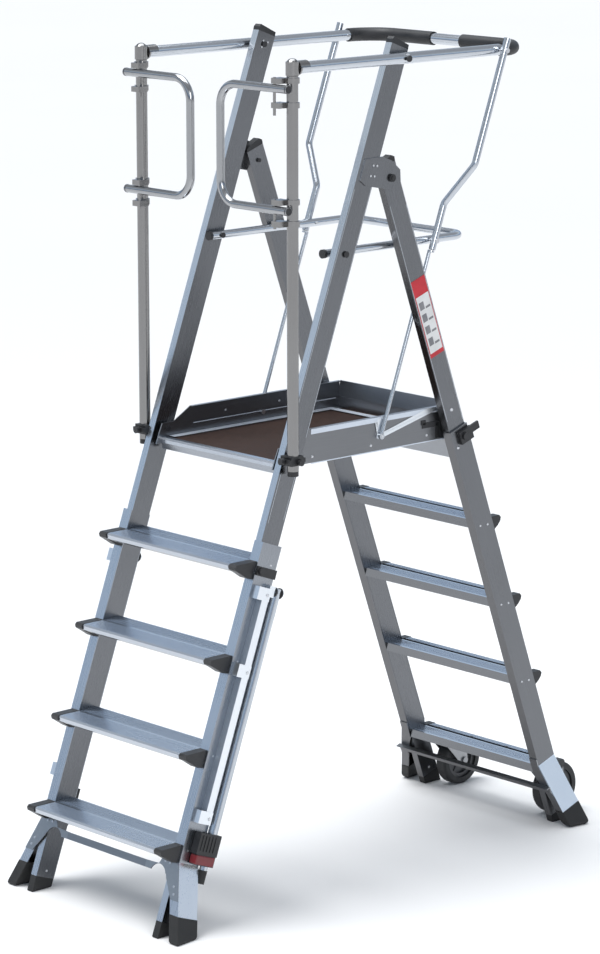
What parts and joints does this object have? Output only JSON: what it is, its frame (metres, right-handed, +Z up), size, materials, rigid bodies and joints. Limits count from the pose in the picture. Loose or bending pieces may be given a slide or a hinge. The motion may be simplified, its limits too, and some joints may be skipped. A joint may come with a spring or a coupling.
{
  "type": "folding platform ladder",
  "caption": "Folding platform ladder with telescopic splayed legs, toe-boarded platform, guard rails, swing gates, outriggers and transport wheels.",
  "frame": {"origin": "centre of the footprint on the ground, under the middle of the overall bounding box", "axes": "+Z up, -Y towards the climbing side with the gates, +Y towards the wheels, +X to the right when facing +Y"},
  "size_m": [0.7508, 1.7343, 2.3994],
  "materials": {
    "aluminium": "satin extruded aluminium",
    "black_plastic": "matt moulded black plastic",
    "rubber": "matt black rubber",
    "zinc": "zinc-plated steel",
    "deck": "dark brown film-faced plywood with a fine non-slip texture",
    "grip": "soft black foam",
    "tyre": "dark grey tyre",
    "hub": "grey moulded hub",
    "post_metal": "warm grey brushed tube"
  },
  "bodies": {
    "front_frame": {"front_stiles": "aluminium", "front_inner_treads": "aluminium", "front_stile_caps": "black_plastic", "front_upright_feet": "rubber", "hinge_plates": "zinc", "front_rivets": "zinc", "front_pivot_bolts": "zinc", "guard_posts": "post_metal", "post_tees": "black_plastic", "post_clips": "black_plastic", "gate_collars": "black_plastic"},
    "platform": {"side_boards": "aluminium", "deck_board": "deck", "front_beam": "aluminium", "rear_board": "aluminium", "platform_stays": "aluminium"},
    "top_guard_rail": {"top_rail": "aluminium", "rail_grips": "grip"},
    "mid_guard_rail": {"mid_rail": "aluminium", "mid_rail_caps": "black_plastic"},
    "strut_pair": {"upper_struts": "aluminium", "lower_rods": "zinc", "strut_bolts": "zinc"},
    "rear_frame": {"rear_stiles": "aluminium", "rear_inner_treads": "aluminium", "rear_stile_caps": "black_plastic", "rear_upright_feet": "rubber"},
    "front_lower": {"front_sleeves": "aluminium", "front_outer_treads": "aluminium", "front_tread_caps": "black_plastic", "front_gussets": "aluminium", "front_crossbar": "aluminium", "front_splay_feet": "rubber", "front_lower_rivets": "zinc", "outrigger_channels": "aluminium"},
    "rear_lower": {"rear_sleeves": "aluminium", "rear_outer_treads": "aluminium", "rear_tread_caps": "black_plastic", "rear_gussets": "aluminium", "rear_crossbar": "aluminium", "rear_splay_feet": "rubber", "wheel_brackets": "zinc"},
    "wheel_body_right": {"wheel_tyre_right": "tyre", "wheel_hub_right": "hub"},
    "wheel_body_left": {"wheel_tyre_left": "tyre", "wheel_hub_left": "hub"},
    "gate_body_right": {"gate_right": "post_metal"},
    "gate_body_left": {"gate_left": "post_metal"},
    "outrigger_right": {"outrigger_tube_right": "aluminium", "outrigger_clamp_right": "black_plastic"},
    "outrigger_left": {"outrigger_tube_left": "aluminium", "outrigger_clamp_left": "black_plastic"},
    "outrigger_foot_right": {"outrigger_leg_right": "aluminium", "outrigger_tip_right": "rubber"},
    "outrigger_foot_left": {"outrigger_leg_left": "aluminium", "outrigger_tip_left": "rubber"},
    "front_lock_body_right": {"front_lock_right": "black_plastic"},
    "front_lock_body_left": {"front_lock_left": "black_plastic"},
    "rear_lock_body_right": {"rear_lock_right": "black_plastic"},
    "rear_lock_body_left": {"rear_lock_left": "black_plastic"}
  },
  "joints": [
    {"name": "platform_fold", "type": "hinge", "parent": "front_frame", "child": "platform", "pos_m": [0, -0.35236, 1.276], "axis": [1, 0, 0], "range_deg": [0, 62]},
    {"name": "top_rail_fold", "type": "hinge", "parent": "front_frame", "child": "top_guard_rail", "pos_m": [0, 0.03948, 2.341], "axis": [1, 0, 0], "range_deg": [-0.5, 62.5]},
    {"name": "mid_rail_fold", "type": "hinge", "parent": "front_frame", "child": "mid_guard_rail", "pos_m": [0, -0.15478, 1.813], "axis": [1, 0, 0], "range_deg": [-0.5, 62.5]},
    {"name": "strut_fold", "type": "hinge", "parent": "platform", "child": "strut_pair", "pos_m": [0, 0.01264, 1.276], "axis": [1, 0, 0], "range_deg": [-62.5, 0.5]},
    {"name": "rear_fold", "type": "hinge", "parent": "front_frame", "child": "rear_frame", "pos_m": [0, 0.01637, 2.01], "axis": [1, 0, 0], "range_deg": [-36.5, 0.5]},
    {"name": "front_extend", "type": "slide", "parent": "front_frame", "child": "front_lower", "axis": [0, -0.3453, -0.9385], "range_m": [0, 0.5]},
    {"name": "rear_extend", "type": "slide", "parent": "rear_frame", "child": "rear_lower", "axis": [0, 0.3387, -0.9409], "range_m": [0, 0.5]},
    {"name": "wheel_spin_right", "type": "hinge", "parent": "rear_lower", "child": "wheel_body_right", "pos_m": [0.206, 0.793, 0.079], "axis": [1, 0, 0], "continuous": true},
    {"name": "wheel_spin_left", "type": "hinge", "parent": "rear_lower", "child": "wheel_body_left", "pos_m": [-0.206, 0.793, 0.079], "axis": [1, 0, 0], "continuous": true},
    {"name": "gate_swing_right", "type": "hinge", "parent": "front_frame", "child": "gate_body_right", "pos_m": [0.282, -0.414, 2.124], "axis": [0, 0, 1], "range_deg": [-90, 0], "stiffness_Nm_per_rad": 1.5},
    {"name": "gate_swing_left", "type": "hinge", "parent": "front_frame", "child": "gate_body_left", "pos_m": [-0.282, -0.414, 2.124], "axis": [0, 0, 1], "range_deg": [0, 90], "stiffness_Nm_per_rad": 1.5},
    {"name": "outrigger_swing_right", "type": "hinge", "parent": "front_lower", "child": "outrigger_right", "pos_m": [0.303, -0.43452, 0.905], "axis": [0, -0.9385, 0.3453], "range_deg": [0, 30]},
    {"name": "outrigger_slide_right", "type": "slide", "parent": "outrigger_right", "child": "outrigger_foot_right", "axis": [0, -0.3453, -0.9385], "range_m": [0, 0.25]},
    {"name": "front_lock_right", "type": "slide", "parent": "front_lower", "child": "front_lock_body_right", "axis": [1, 0, 0], "range_m": [0, 0.006], "stiffness_N_per_m": 400},
    {"name": "rear_lock_right", "type": "slide", "parent": "rear_lower", "child": "rear_lock_body_right", "axis": [1, 0, 0], "range_m": [0, 0.006], "stiffness_N_per_m": 400},
    {"name": "outrigger_swing_left", "type": "hinge", "parent": "front_lower", "child": "outrigger_left", "pos_m": [-0.303, -0.43452, 0.905], "axis": [0, 0.9385, -0.3453], "range_deg": [0, 30]},
    {"name": "outrigger_slide_left", "type": "slide", "parent": "outrigger_left", "child": "outrigger_foot_left", "axis": [0, -0.3453, -0.9385], "range_m": [0, 0.25]},
    {"name": "front_lock_left", "type": "slide", "parent": "front_lower", "child": "front_lock_body_left", "axis": [-1, 0, 0], "range_m": [0, 0.006], "stiffness_N_per_m": 400},
    {"name": "rear_lock_left", "type": "slide", "parent": "rear_lower", "child": "rear_lock_body_left", "axis": [-1, 0, 0], "range_m": [0, 0.006], "stiffness_N_per_m": 400}
  ],
  "couplings": [
    {"joint": "top_rail_fold", "follows": "platform_fold", "ratio": 1},
    {"joint": "mid_rail_fold", "follows": "platform_fold", "ratio": 1},
    {"joint": "strut_fold", "follows": "platform_fold", "ratio": -1},
    {"joint": "rear_fold", "follows": "platform_fold", "ratio": -0.58065}
  ]
}
